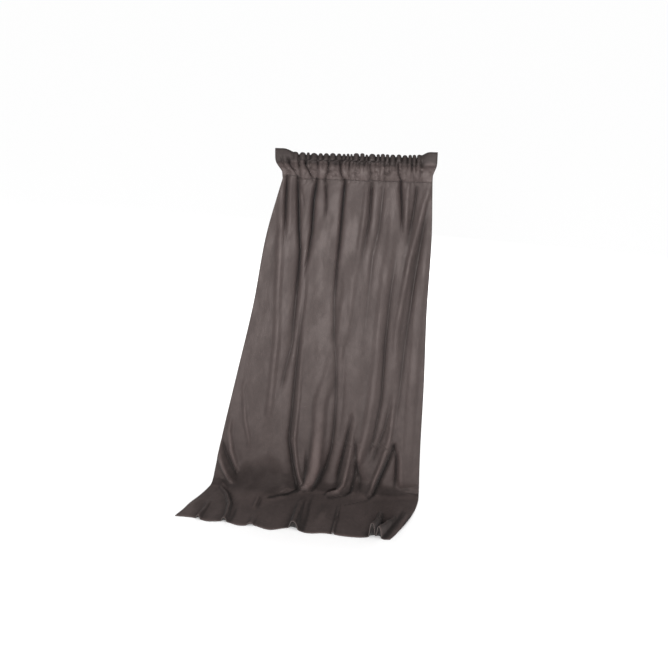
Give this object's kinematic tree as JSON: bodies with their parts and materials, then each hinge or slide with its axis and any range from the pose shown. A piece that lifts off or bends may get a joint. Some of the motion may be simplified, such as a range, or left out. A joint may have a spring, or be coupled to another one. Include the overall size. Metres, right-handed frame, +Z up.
{
  "type": "room curtain panel",
  "caption": "Velvet curtain panel with a gathered rod pocket and frill heading, hanging in soft folds and ending in a train on the floor.",
  "frame": {"origin": "on the rod's axis at the middle of the gathered rod pocket", "axes": "+X along the rod, -Y the way the velvet face looks, +Z up; the floor is at z = -1.912 m"},
  "size_m": [1.3772, 0.4644, 2.0134],
  "materials": {
    "velvet": "matt cut-pile velvet with a soft sheen",
    "thread": "matt polyester thread"
  },
  "bodies": {
    "heading": {"heading_front": "velvet", "heading_back": "velvet", "frill_stitching": "thread", "pocket_stitching": "thread"},
    "drape": {"face_panel": "velvet", "left_side_hem": "velvet", "right_side_hem": "velvet", "left_hem_stitching": "thread", "right_hem_stitching": "thread", "bottom_hem": "velvet", "bottom_hem_stitching": "thread"}
  },
  "joints": [
    {"name": "drape_swing", "type": "hinge", "parent": "heading", "child": "drape", "pos_m": [0, 0, -0.05424], "axis": [-1, 0, 0], "range_deg": [0, 20]}
  ]
}
